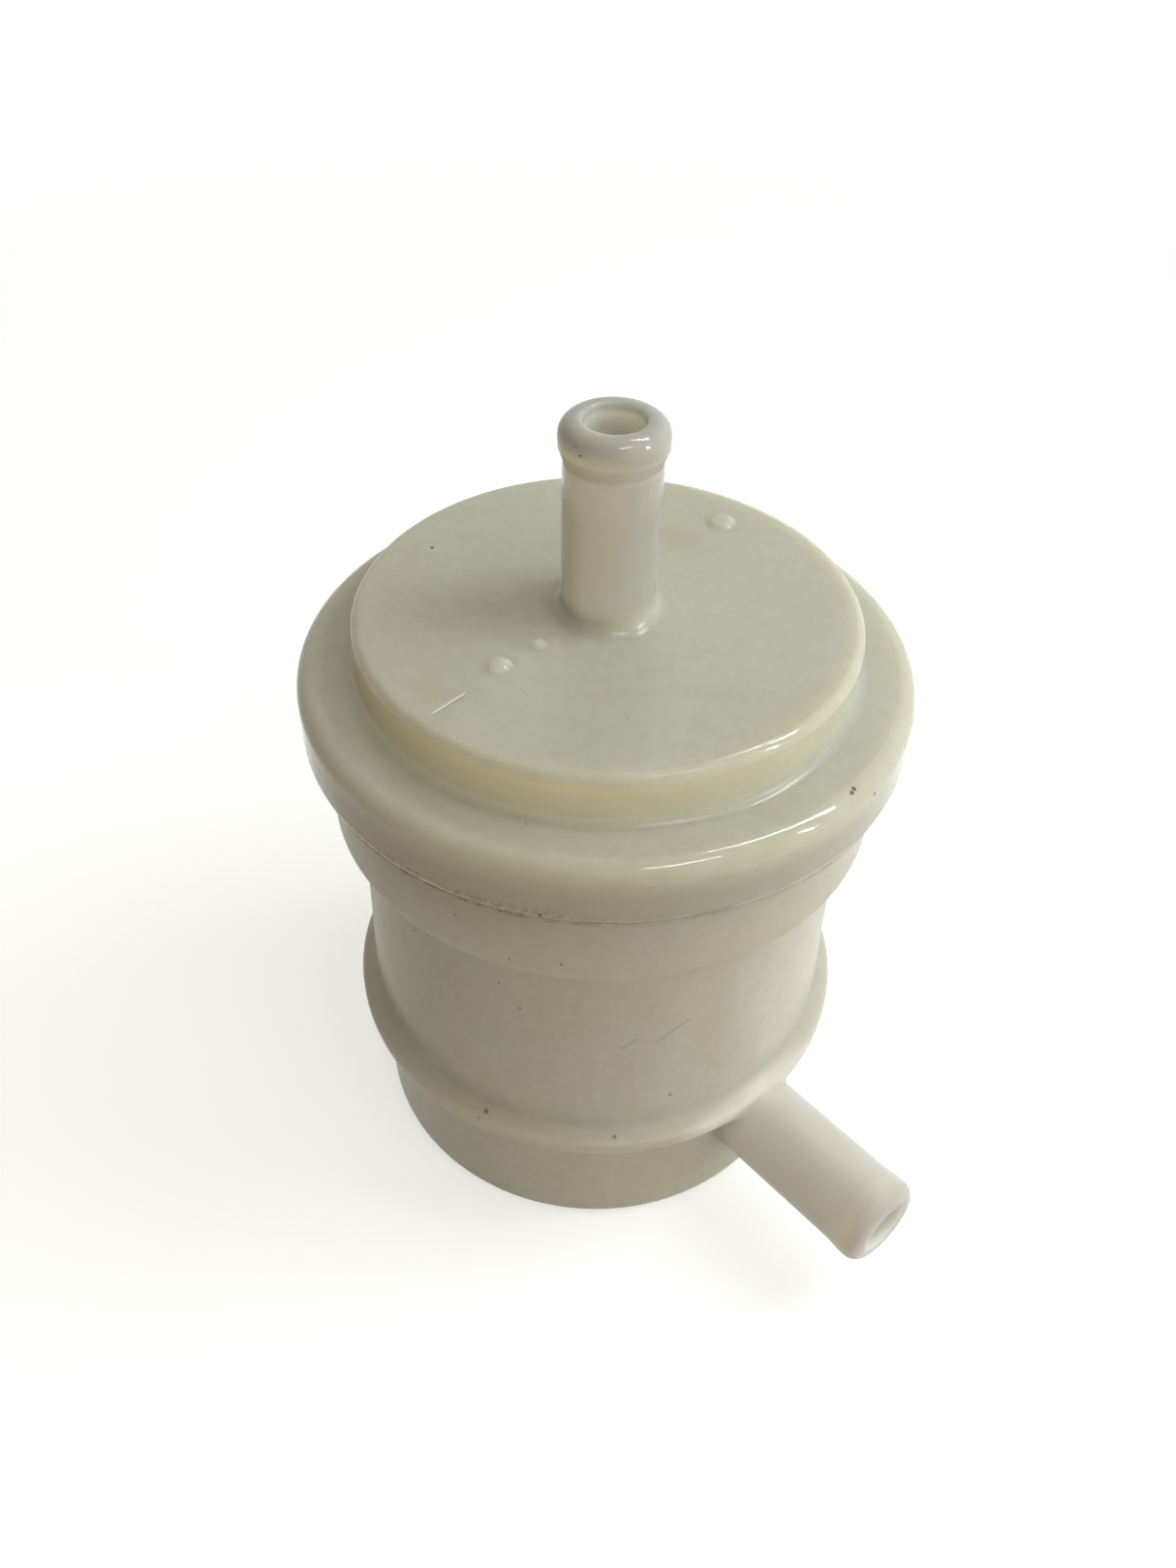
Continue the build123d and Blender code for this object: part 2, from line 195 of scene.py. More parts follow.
class CaseSettings(bpy.types.PropertyGroup):
    """Colours and finish of the nylon case, with the painted light and shade of its steps and nipples."""

    cover_milk: colour("Cover", "Clean, milky nylon of the cover", (0.49, 0.48, 0.39))
    bowl_milk: colour("Bowl", "Clean, milky nylon of the bowl", (0.48, 0.46, 0.385))
    cover_cream: colour("Cover's cream", "Yellower clouds in the cover", (0.465, 0.45, 0.335))
    bowl_cream: colour("Bowl's cream", "Yellower clouds in the bowl", (0.47, 0.44, 0.33))
    mottle: colour("Mottle", "Darker side of the nylon's fine mottle", (0.33, 0.30, 0.22))
    # painted shade: the skirt colour darkens the cover's skirt below its rounded edge, and through the edge share its
    # rounded top and flange edges
    skirt: colour("Skirt", "Cover below its rounded edge, where less light comes through", (0.38, 0.36, 0.28))
    # painted light: the root colour lightens the foot of the flat top, most on the side away from the window
    root: colour("Root", "Light that gathers in the nylon at the foot of the flat top", (0.71, 0.66, 0.48))
    # painted shade: the shoulder colour darkens the band round the bowl's shoulder
    shoulder: colour("Shoulder", "Bead round the bowl's shoulder", (0.34, 0.325, 0.29))
    # painted light: the inlet colour lightens the inlet's thin walls, and the underside colour its underside more still
    inlet: colour("Inlet", "Nylon of the inlet, where the wall is thin", (0.64, 0.605, 0.55))
    inlet_under: colour("Inlet's underside", "Light that gathers on the inlet's underside", (0.84, 0.80, 0.74))
    # painted shade: darkens the inlet's tip
    inlet_tip_painted_shade: colour("Inlet's tip", "Thicker nylon at the inlet's tip", (0.37, 0.345, 0.33))
    # painted light and shade: the outlet is darker on the window's side and lighter on the side away from it
    outlet_near_painted_shade: colour("Outlet, near side", "Outlet on the side of the window", (0.32, 0.315, 0.285))
    outlet_far_painted_light: colour("Outlet, far side", "Outlet on the side away from the window", (0.78, 0.735, 0.63))
    # painted light: lightens the outlet just below its swollen tip
    outlet_neck_painted_light: colour("Outlet's neck", "Outlet just below its swollen tip", (0.50, 0.48, 0.44))
    # painted shade: darkens the outlet's tip
    outlet_tip_painted_shade: colour("Outlet's tip", "Thicker nylon at the outlet's tip", (0.34, 0.33, 0.305))
    # painted light: lightens the inside of both bores
    bore: colour("Bore", "Inside of both bores", (0.62, 0.62, 0.58))
    speck: colour("Speck", "Burnt grains in the nylon", (0.08, 0.055, 0.035))
    # the tint also colours the painted shadows beside the moulding gates
    tint: colour("Tint", "Nylon yellowed by the weld's heat", (0.37, 0.31, 0.18))
    stain: colour("Stain", "Brown crumbs along the weld", (0.20, 0.12, 0.055))
    cloudy: share("Cloudy", "How far the clouds show", 0.6)
    mottled: share("Mottled", "How far the fine mottle shows", 0.18)
    # painted light and shade: how far the skirt, the far side of the top's foot and the nipples take on their painted
    # colours
    painted_light_and_shade: share("Zoned", "How far the skirt and the nipples take on shades of their own", 0.8)
    edge_painted_shade: share("Edged", "How far the cover's rounded edges take on the skirt's shade", 0.3)
    # painted light at the foot of the flat top on the window's side
    near_root: share("Near root", "How far the foot of the flat top is lighter on the window's side", 0.08)
    shoulder_painted_shade: share("Beaded", "How far the shoulder's bead takes on its own shade", 0.12)
    neck_painted_light: share("Necked", "How far the outlet's neck takes on its own shade", 0.5)
    browned: share("Browned", "How far the nylon is browned at the hot side of the weld", 0.6)
    crumbled: share("Crumbled", "How far crumbs show at the hot side of the weld", 0.75)
    stray: share("Stray crumbs", "How far crumbs show all round the weld", 0.05)
    # painted shadows beside the two moulding gates, not yellowing
    yellowed: share("Yellowed", "How far the two yellowed spots show", 0.22)
    hairlined: share("Hairlined", "How far the hairlines show", 0.22)
    grained: share("Grained", "How far the scattered grains show", 0.5)
    cover_specked: share("Cover's specks", "How far the placed grains show in the cover", 0.9)
    bowl_specked: share("Bowl's specks", "How far the placed grains show in the bowl", 0.6)
    cover_gloss: share("Cover's gloss", "Roughness of the cover's polished skin", 0.08)
    bowl_gloss: share("Bowl's gloss", "Roughness of the bowl's duller skin", 0.30)
    cover_mirror: share("Cover's mirror", "Strength of the cover's reflections", 0.24)
    bowl_mirror: share("Bowl's mirror", "Strength of the bowl's reflections", 0.2)
    cover_edge: length("Cover's edge", "How far the cover's skin looks rounded at an edge", 0.0)
    bowl_edge: length("Bowl's edge", "How far the bowl's skin looks rounded at an edge", 1.3)
    scatter: length("Scatter", "How deep light wanders in the nylon", 5.0)


class ElementSettings(bpy.types.PropertyGroup):
    """Colours of the pieces inside the case, each a light and a dark of one mottle."""

    plastic_light: colour("Plastic, light", "End plates and centre tube", (0.72, 0.71, 0.66))
    plastic_dark: colour("Plastic, dark", "End plates and centre tube", (0.66, 0.64, 0.58))
    paper_light: colour("Paper, light", "Pleated filter paper", (0.78, 0.72, 0.58))
    paper_dark: colour("Paper, dark", "Pleated filter paper", (0.68, 0.61, 0.46))
    glue_light: colour("Glue, light", "Glue that bonds the paper to the plates", (0.72, 0.65, 0.48))
    glue_dark: colour("Glue, dark", "Glue that bonds the paper to the plates", (0.62, 0.53, 0.35))
    rubber_light: colour("Rubber, light", "Seal round the outlet's spigot", (0.05, 0.05, 0.05))
    rubber_dark: colour("Rubber, dark", "Seal round the outlet's spigot", (0.03, 0.03, 0.03))
    metal_light: colour("Metal, light", "Clip on the paper's seam", (0.56, 0.56, 0.55))
    metal_dark: colour("Metal, dark", "Clip on the paper's seam", (0.44, 0.44, 0.44))


class WeldSettings(bpy.types.PropertyGroup):
    """The flash of the weld under the cover's skirt."""

    clean: colour("Clean", "Flash where it stayed pale", (0.44, 0.41, 0.315))
    burnt: colour("Burnt", "Flash where the weld ran hot", (0.27, 0.195, 0.11))
    width: length("Width", "How far the flash stands out from the collar", 0.6)
    spread: length("Spread", "How far it creeps on outwards under the skirt", 0.95)
    height: length("Height", "How far the flash runs down the collar", 1.5)
    bite: length("Bite", "How far the flash reaches up round the skirt's edge", 0.3)
    slope: share("Slope", "How much of the flash's section its slope takes up", 0.97)
    lumps: length("Lumps", "Height of the lumps where the weld ran hot", 0.3)
    lump_size: length("Lump size", "Distance between the lumps", 1.6)
    drips: length("Drips", "Height of the fine drips where the weld ran hot", 0.12)
    drip_size: length("Drip size", "Distance between the fine drips", 0.5)
    calm: share("Calm", "How much of the lumps is left on the cool side", 0.15)
    steps: IntProperty(name="Steps", description="Sections round the ring", default=360, min=24)


class MarkSettings(bpy.types.PropertyGroup):
    """Small marks of the moulding on the cover."""

    plateau: length("Plateau", "Height of the cover's flat top", 59.5)
    scar_angle: angle("Scar angle", "Where the fine ridge lies round the cover", -85.0)
    scar_start: length("Scar start", "Inner end of the ridge, from the axis", 16.2)
    scar_end: length("Scar end", "Outer end of the ridge, from the axis", 19.95)
    scar_width: length("Scar width", "Width of the ridge", 0.2)
    scar_height: length("Scar height", "Height of the ridge and of its root in the cover", 0.14)
    scar_light: colour("Scar, light", "Whitened nylon of the ridge", (0.63, 0.615, 0.525))
    scar_dark: colour("Scar, dark", "Whitened nylon of the ridge", (0.56, 0.545, 0.45))


class StageSettings(bpy.types.PropertyGroup):
    """Floor, lamps and camera."""

    floor_size: length("Floor size", "Side of the square floor", 3000.0)
    camera_distance: length("Camera distance", "From the camera to the point it aims at", 128.4)
    camera_aim: length("Aim height", "Height of the aimed point on the case's axis", 39.0)
    camera_side: length("Aim side", "How far the aimed point lies beside the axis", -1.3)
    camera_azimuth: angle("Azimuth", "Turn of the camera round the case", 47.1)
    camera_elevation: angle("Elevation", "Camera above the horizon", 42.85)
    camera_roll: angle("Roll", "Tilt of the camera about its own line of sight", 1.55)
    camera_lens: FloatProperty(name="Lens", description="Focal length, in millimetres", default=31.35)
    window_power: power("Window", "Power of the window on the right", 0.31)
    side_power: power("Side fill", "Power of the low soft light on the right", 1.2)
    fill_power: power("Front fill", "Power of the broad soft light in front", 4.6)
    back_power: power("Back fill", "Power of the broad soft light behind", 1.1)
    gleam: power("Gleam", "Power of the brightest pane that the gloss mirrors", 7.0)
    room_light: colour("Bright room", "Soft light from the window's side", (0.54, 0.53, 0.49))
    room_dark: colour("Dark room", "Soft light from the side away from the window", (0.145, 0.125, 0.08))
    room_turn: angle("Bright side's turn", "Where the bright side lies from the camera's right hand", 8.0)
    room_rise: angle("Bright side's rise", "Bright side above the horizon", 50.0)
    floor_dim: colour("Floor's bounce", "Floor as it lights the case", (0.36, 0.31, 0.23))
    floor_lit: colour("Floor", "Floor as it is seen", (0.68, 0.67, 0.65))
    floor_glow: share("Floor's glow", "What lifts the seen floor to white", 0.52)
    floor_near: length("Floor's fade, start", "Where the floor starts to fade into the background", 120.0)
    floor_far: length("Floor's fade, end", "Where the floor has become the background", 320.0)


# ------------------------------------------------------------------ shader maths


class Value:
    """A socket of a material, on which Python's arithmetic adds Math nodes."""

    def __init__(self, finish, socket):
        self.finish = finish
        self.socket = socket

    def __add__(self, other):
        return self.finish.math("ADD", self, other)

    def __sub__(self, other):
        return self.finish.math("SUBTRACT", self, other)

    def __rsub__(self, other):
        return self.finish.math("SUBTRACT", other, self)

    def __mul__(self, other):
        return self.finish.math("MULTIPLY", self, other)

    def __gt__(self, other):
        return self.finish.math("GREATER_THAN", self, other)

    __radd__ = __add__
    __rmul__ = __mul__


class Finish:
    """The nodes of one material or world."""

    def __init__(self, owner):
        self.owner = owner
        owner.use_nodes = True
        self.tree = owner.node_tree
        self.tree.nodes.clear()

    @classmethod
    def of(cls, name):
        """A new material's nodes, with places read in the frame's own coordinates."""
        finish = cls(bpy.data.materials.new(name))
        finish.place = finish.node("ShaderNodeTexCoord")["Object"]
        return finish

    def node(self, kind, settings=(), sockets=()):
        """Adds a node: its settings first, then the values or links of its sockets."""
        node = self.tree.nodes.new(kind)
        for key, value in dict(settings).items():
            setattr(node, key, value)
        for key, value in dict(sockets).items():
            if isinstance(value, Value):
                self.tree.links.new(value.socket, node.inputs[key])
            else:
                node.inputs[key].default_value = value
        return {output.name: Value(self, output) for output in reversed(node.outputs) if output.enabled}

    def math(self, operation, *numbers):
        """A Math node on values and numbers."""
        return self.node("ShaderNodeMath", {"operation": operation}, dict(enumerate(numbers)))["Value"]

    def noise(self, size, detail=2.0, roughness=0.5):
        """Noise whose features are about one size across, in metres."""
        sockets = {"Vector": self.place, "Scale": 1 / size, "Detail": detail, "Roughness": roughness}
        return self.node("ShaderNodeTexNoise", (), sockets)["Fac"]

    def fade(self, value, start, end):
        """0 up to the start and 1 from the end on, with a soft step between; start may lie above end."""
        settings = {"interpolation_type": "SMOOTHSTEP"}
        if start > end:
            return 1 - self.fade(value, end, start)
        return self.node("ShaderNodeMapRange", settings, {"Value": value, "From Min": start, "From Max": end})["Result"]

    def mix(self, share_of_b, a, b):
        """A colour between a and b."""
        a, b = (shade if isinstance(shade, Value) else (*shade, 1.0) for shade in (a, b))
        settings = {"data_type": "RGBA"}
        return self.node("ShaderNodeMix", settings, {0: share_of_b, 6: a, 7: b})["Result"]

    def apart(self, vector=None):
        """The x, y and z of a vector."""
        parts = self.node("ShaderNodeSeparateXYZ", (), {"Vector": vector or self.place})
        return parts["X"], parts["Y"], parts["Z"]

    def hypotenuse(self, a, b):
        """The length of two measures at right angles."""
        return self.math("SQRT", a * a + b * b)

    def zone(self, measures, name):
        """1 in a named zone of the case, fading to 0 round it."""
        first, *rest = (self.fade(measures[measure], start * MM, end * MM) for measure, start, end in ZONES[name])
        for inside in rest:
            first = first * inside
        return first

    def vector(self, operation, sockets):
        """A Vector Math node; its vector result, or its number where it has only that."""
        results = self.node("ShaderNodeVectorMath", {"operation": operation}, sockets)
        return next(iter(results.values()))

    def side(self, place, limits):
        """0 to 1 from one side of the case to the other, between two limits in millimetres."""
        return self.fade(place, limits[0] * MM, limits[1] * MM)

    def near(self, point, reach):
        """1 at a point, fading to 0 at the reach."""
        return self.fade(self.vector("DISTANCE", {0: self.place, 1: point}), reach, reach * 0.5)

    def along(self, start, end, reach):
        """1 on the line between two points, fading to 0 at the reach."""
        line = end - start
        out = self.vector("SUBTRACT", {0: self.place, 1: start})
        way = self.vector("DOT_PRODUCT", {0: out, 1: line / line.length_squared})
        way = self.math("MINIMUM", self.math("MAXIMUM", way, 0), 1)
        foot = self.vector("SCALE", {0: line, "Scale": way})
        return self.fade(self.vector("DISTANCE", {0: out, 1: foot}), reach, reach * 0.4)

    def grains(self, spacing, size, share_filled):
        """Small round grains, scattered about one spacing apart, in only some of the places."""
        settings = {"feature": "F1"}
        cells = self.node("ShaderNodeTexVoronoi", settings, {"Vector": self.place, "Scale": 1 / spacing})
        filled = self.apart(cells["Color"])[0] > 1 - share_filled
        return self.fade(cells["Distance"], size / spacing, size / spacing * 0.5) * filled

    def bump(self, height, depth, edge=0.0):
        """A normal from a height between 0 and 1 that stands for a depth in metres, and from rounded edges."""
        sockets = {"Height": height, "Distance": depth, "Strength": 1.0}
        if edge:
            sockets["Normal"] = self.node("ShaderNodeBevel", {"samples": 4}, {"Radius": edge})["Normal"]
        return self.node("ShaderNodeBump", (), sockets)["Normal"]

    def surface(self, **sockets):
        """Ends the material in one Principled surface."""
        named = {key.replace("_", " "): value for key, value in sockets.items()}
        surface = self.node("ShaderNodeBsdfPrincipled", (), named)["BSDF"]
        self.node("ShaderNodeOutputMaterial", (), {"Surface": surface})
        return self.owner


# ------------------------------------------------------------------ materials


def spot(radius, turn, height):
    """A point from its distance from the axis, its turn in degrees and its height, in millimetres."""
    turn = math.radians(turn)
    return Vector((radius * math.cos(turn), radius * math.sin(turn), height)) * MM


def hot_and_shaded_side(x, y):
    """How far a place lies towards the side on which the weld ran hot, which is also away from the window; it places
    the weld's browning and the painted light and shade that change from side to side.
    """
    return x * -0.6 - y * 0.8


def nylon(case, half, specks, hairlines=()):
    """Milky nylon of one half of the case, with clouds, burnt grains, a browned weld, a moulded skin and painted light
    and shade on its steps, nipples and flat top.
    """
    own = {key: getattr(case, f"{half}_{key}") for key in ("milk", "cream", "gloss", "mirror", "edge", "specked")}
    finish = Finish.of(f"{half}_nylon")
    x, y, height = finish.apart()
    measures = {
        "x": x,
        "height": height,
        "radius": finish.hypotenuse(x, y),
        "bore": finish.hypotenuse(y, height - INLET_HEIGHT),
        "weld": finish.math("ABSOLUTE", height - WELD_TOP),
    }
    zone = {name: finish.zone(measures, name) for name in ZONES}
    side = hot_and_shaded_side(x, y)

    # the nylon itself
    clouds = finish.fade(finish.noise(CLOUD_SIZE, 3.0), 0.35, 0.65)
    mottle = finish.noise(MOTTLE_SIZE, 3.0, 0.6)
    shade = finish.mix(clouds * case.cloudy, own["milk"], own["cream"])
    shade = finish.mix(finish.fade(mottle, 0.3, 0.7) * case.mottled, shade, case.mottle)

    # steps of the cover and the bowl: painted shade on the skirt, the rounded edges and the shoulder, painted light at
    # the foot of the flat top
    far = finish.side(side, FAR_SIDE)
    # painted shade on the skirt and on the cover's rounded edges
    shade = finish.mix(zone["skirt"] * case.painted_light_and_shade, shade, case.skirt)
    shade = finish.mix((zone["top_edge"] + zone["flange_edge"]) * case.edge_painted_shade, shade, case.skirt)
    # painted light at the foot of the flat top, strongest on the side away from the window
    shade = finish.mix(zone["top_foot"] * (far * case.painted_light_and_shade + case.near_root), shade, case.root)
    # painted shade round the bowl's shoulder
    shade = finish.mix(zone["shoulder"] * case.shoulder_painted_shade, shade, case.shoulder)

    # nipples: painted light where their thin walls let light through and in the bores, painted shade on their thicker
    # tips and on the outlet's window side
    # painted shade on the outlet's window side, painted light on its far side
    outlet = finish.mix(finish.side(side, FAR_OUTLET), case.outlet_near_painted_shade, case.outlet_far_painted_light)
    # painted light on the inlet, lighter still on its underside
    under_inlet = finish.side(y + (height - INLET_HEIGHT), INLET_UNDERSIDE) * zone["inlet"]
    shade = finish.mix(zone["inlet"] * case.painted_light_and_shade, shade, case.inlet)
    shade = finish.mix(zone["outlet"] * case.painted_light_and_shade, shade, outlet)
    # painted light below the outlet's swollen tip
    shade = finish.mix(zone["outlet_neck_painted_light"] * case.neck_painted_light, shade, case.outlet_neck_painted_light)
    # painted shade on the outlet's tip
    shade = finish.mix(zone["outlet_tip_painted_shade"], shade, case.outlet_tip_painted_shade)
    shade = finish.mix(under_inlet * case.painted_light_and_shade, shade, case.inlet_under)
    # painted shade on the inlet's tip
    shade = finish.mix(zone["inlet_tip_painted_shade"] * case.painted_light_and_shade, shade, case.inlet_tip_painted_shade)
    # painted light inside both bores
    shade = finish.mix(zone["outlet_bore"] + zone["inlet_bore"], shade, case.bore)

    # heat of the weld, strongest on one side
    hot = finish.side(side, HOT_SIDE)
    crumbs = finish.fade(finish.noise(CRUMB_SIZE, 3.0, 0.6), 0.48, 0.60) * zone["crumbs"]
    crumbled = zone["outside"] * hot * case.crumbled + case.stray
    shade = finish.mix(zone["weld"] * hot * case.browned, shade, case.tint)
    shade = finish.mix(crumbs * crumbled, shade, case.stain)

    # painted shadows beside the gates, then grains and hairlines
    # painted shadows beside the moulding gates, in the weld's tint
    for *place, reach in PAINTED_GATE_SHADOWS:
        shade = finish.mix(finish.near(spot(*place), reach * MM) * case.yellowed, shade, case.tint)
    grains = finish.grains(GRAIN_SPACING, GRAIN_SIZE, GRAINS_FILLED) * case.grained
    for *place, reach in specks:
        grains = finish.math("MAXIMUM", grains, finish.near(spot(*place), reach * MM) * own["specked"])
    for start, end in hairlines:
        line = finish.along(spot(*start), spot(*end), HAIRLINE_WIDTH * MM)
        grains = finish.math("MAXIMUM", grains, line * case.hairlined)
    shade = finish.mix(grains, shade, case.speck)

    skin = finish.noise(RIPPLE_SIZE) + finish.noise(PEEL_SIZE) * 0.03
    return finish.surface(
        Base_Color=shade,
        Roughness=own["gloss"] + (mottle - 0.5) * 0.06 + zone["top_foot"] * 0.25,
        IOR=1.53,
        Specular_IOR_Level=own["mirror"],
        Subsurface_Weight=1.0,
        Subsurface_Radius=(1.0, 0.88, 0.7),
        Subsurface_Scale=case.scatter,
        Normal=finish.bump(skin, SKIN_DEPTH, own["edge"]),
    )


def flash_finish(weld):
    """Pale flash with burnt brown grains, most of them on the side on which the weld ran hot."""
    finish = Finish.of("weld_flash")
    x, y, _ = finish.apart()
    hot = finish.side(hot_and_shaded_side(x, y), HOT_FLASH)
    lumps = finish.fade(finish.noise(BURNT_SIZE, 3.0, 0.6), 0.42, 0.62)
    return finish.surface(
        Base_Color=finish.mix(lumps * (hot * 0.6 + 0.1) + hot * 0.3, weld.clean, weld.burnt),
        Roughness=0.45 + lumps * 0.2,
        Specular_IOR_Level=0.2,
        Subsurface_Weight=0.3,
        Subsurface_Radius=(1.0, 0.7, 0.4),
        Subsurface_Scale=1.0 * MM,
        Normal=finish.bump(lumps, SKIN_DEPTH),
    )


def plain(name, light, dark, size, roughness, **sockets):
    """A moulded or cast finish with a soft mottle between two close colours."""
    finish = Finish.of(name)
    mottle = finish.noise(size, 4.0, 0.6)
    return finish.surface(
        Base_Color=finish.mix(mottle, light, dark),
        Roughness=roughness + (mottle - 0.5) * 0.2,
        Normal=finish.bump(mottle, MOULD_DEPTH),
        **sockets,
    )


def paint(node, material):
    """Gives a CAD node its finish."""
    for slot in frame["nodes"][node].material_slots:
        slot.material = material


# ------------------------------------------------------------------ operators


class FILTER_OT_case(bpy.types.Operator):
    """Finish the cover and the bowl in milky nylon"""

    bl_idname = "filter.case"
    bl_label = "Case"

    def execute(self, context):
        case = context.scene.filter_case
        paint("cover", nylon(case, "cover", COVER_SPECKS))
        paint("bowl", nylon(case, "bowl", BOWL_SPECKS, HAIRLINES))
        return {"FINISHED"}


class FILTER_OT_element(bpy.types.Operator):
    """Finish the pieces of the element inside the case"""

    bl_idname = "filter.element"
    bl_label = "Element"

    def execute(self, context):
        inner = context.scene.filter_element
        plastic = plain("plate_plastic", inner.plastic_light, inner.plastic_dark, 5 * MM, 0.45)
        for node in ("upper_end_plate", "lower_end_plate", "center_tube"):
            paint(node, plastic)
        paint("filter_paper", plain("pleat_paper", inner.paper_light, inner.paper_dark, 0.4 * MM, 0.9))
        glue = plain("bond_glue", inner.glue_light, inner.glue_dark, 2 * MM, 0.3)
        for node in ("upper_glue", "lower_glue"):
            paint(node, glue)
        paint("outlet_seal", plain("seal_rubber", inner.rubber_light, inner.rubber_dark, 0.8 * MM, 0.6))
        steel = plain("clip_steel", inner.metal_light, inner.metal_dark, 1 * MM, 0.3, Metallic=1.0)
        paint("seam_clip", steel)
        return {"FINISHED"}


def start(name, primitive, **settings):
    """Adds a primitive with nothing else selected, and goes into edit mode on it."""
    bpy.ops.object.select_all(action="DESELECT")
    primitive(**settings)
    piece = bpy.context.object
    piece.name = piece.data.name = name
    bpy.ops.object.mode_set(mode="EDIT")
    return piece


def pick(piece, test):
    """Selects only the vertices whose place passes a test."""
    bpy.ops.mesh.select_mode(type="VERT")
    bpy.ops.mesh.select_all(action="DESELECT")
    shape = bmesh.from_edit_mesh(piece.data)
    for vertex in shape.verts:
        vertex.select_set(test(piece.matrix_world @ vertex.co))
    bmesh.update_edit_mesh(piece.data)


def modify(piece, kind, **settings):
    """Adds a modifier, sets it and applies it."""
    modifier = piece.modifiers.new(kind.title(), kind)
    for key, value in settings.items():
        setattr(modifier, key, value)
    bpy.ops.object.modifier_apply(modifier=modifier.name)


def unevenness(name, size):
    """A cloud pattern for displacement."""
    pattern = bpy.data.textures.new(name, "CLOUDS")
    pattern.noise_scale = size
    pattern.noise_depth = 2
    return pattern


def settle(piece, material):
    """Puts a finished piece's place into its mesh, smooths it and ties it to the case."""
    bpy.ops.object.mode_set(mode="OBJECT")
    bpy.ops.object.transform_apply(location=True, rotation=True, scale=True)
    bpy.ops.object.shade_smooth()
    piece.data.materials.append(material)
    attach(piece, "root")


class FILTER_OT_weld(bpy.types.Operator):
    """Model the uneven flash that the weld squeezed out under the cover's skirt"""

    bl_idname = "filter.weld"
    bl_label = "Weld flash"

    def execute(self, context):
        weld = context.scene.filter_weld
        inner = WELD_RADIUS - weld.width
        width = weld.width + weld.spread
        height = weld.height + weld.bite
        middle = (inner + width / 2, 0, WELD_TOP + weld.bite - height / 2)
        upright = (math.pi / 2, 0, 0)
        flash = start("weld_flash", bpy.ops.mesh.primitive_plane_add, size=1, location=middle, rotation=upright)
        bpy.ops.transform.resize(value=(width, 1, height))
        # the outer lower corner becomes one long slope from the skirt down to the collar
        pick(flash, lambda place: place.x > middle[0] and place.z < middle[2])
        bpy.ops.mesh.bevel(offset=width * weld.slope, segments=6, affect="VERTICES", profile=0.2)
        bpy.ops.mesh.select_mode(type="FACE")
        bpy.ops.mesh.select_all(action="SELECT")
        bpy.ops.mesh.delete(type="ONLY_FACE")
        bpy.ops.mesh.select_mode(type="EDGE")
        bpy.ops.mesh.select_all(action="SELECT")
        bpy.ops.mesh.spin(steps=weld.steps, angle=math.tau, center=(0, 0, 0), axis=(0, 0, 1))
        bpy.ops.mesh.select_all(action="SELECT")
        bpy.ops.mesh.remove_doubles(threshold=0.001 * MM)
        bpy.ops.mesh.normals_make_consistent(inside=False)
        bpy.ops.object.mode_set(mode="OBJECT")
        bpy.ops.object.transform_apply(location=True, rotation=True, scale=True)
        hot = flash.vertex_groups.new(name="hot")
        cool, hottest = (limit * MM for limit in HOT_LUMPS)
        for vertex in flash.data.vertices:
            heat = (hot_and_shaded_side(vertex.co.x, vertex.co.y) - cool) / (hottest - cool)
            hot.add([vertex.index], min(max(heat, weld.calm), 1), "REPLACE")
        for name, size, depth in (("lumps", weld.lump_size, weld.lumps), ("drips", weld.drip_size, weld.drips)):
            pattern = unevenness("flash_" + name, size)
            modify(flash, "DISPLACE", texture=pattern, strength=depth, mid_level=0.5, vertex_group=hot.name)
        settle(flash, flash_finish(weld))
        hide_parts("weld_bead")
        return {"FINISHED"}


class FILTER_OT_scar(bpy.types.Operator):
    """Model the fine ridge that a scratch in the mould left on the cover"""

    bl_idname = "filter.scar"
    bl_label = "Mould scar"

    def execute(self, context):
        marks = context.scene.filter_marks
        turn = marks.scar_angle
        middle = (marks.scar_start + marks.scar_end) / 2
        reach = marks.scar_end - marks.scar_start
        scar = start(
            "mould_scar",
            bpy.ops.mesh.primitive_cube_add,
            size=1,
            location=(middle * math.cos(turn), middle * math.sin(turn), marks.plateau),
            rotation=(0, 0, turn),
            scale=(reach, marks.scar_width, marks.scar_height),
        )
        bpy.ops.mesh.subdivide(number_cuts=7)
        centre = scar.matrix_world.translation
        # both ends run out thin
        pick(scar, lambda place: (place - centre).length > reach * 0.45)
        bpy.ops.transform.resize(value=(1, 0.3, 0.3), orient_type="LOCAL")
        bpy.ops.object.mode_set(mode="OBJECT")
        modify(scar, "SUBSURF", levels=1, render_levels=1)
        pale = plain("scar_nylon", marks.scar_light, marks.scar_dark, 0.5 * MM, 0.25)
        settle(scar, pale)
        return {"FINISHED"}


class FILTER_OT_stage(bpy.types.Operator):
    """Set up the floor, the lamps and the camera"""

    bl_idname = "filter.stage"
    bl_label = "Stage"

    def execute(self, context):
        stage = context.scene.filter_stage
        add_floor(stage)
        add_room(context.scene, stage)
        add_lamps(stage)
        add_camera(context.scene, stage)
        context.scene.view_settings.view_transform = "Standard"
        return {"FINISHED"}


def seen(finish):
    """1 for the rays that see a background: the camera's own, mirrored and through clear pieces."""
    rays = finish.node("ShaderNodeLightPath")
    mirrored = finish.math("MAXIMUM", rays["Is Glossy Ray"], rays["Is Transmission Ray"])
    return finish.math("MAXIMUM", rays["Is Camera Ray"], mirrored)


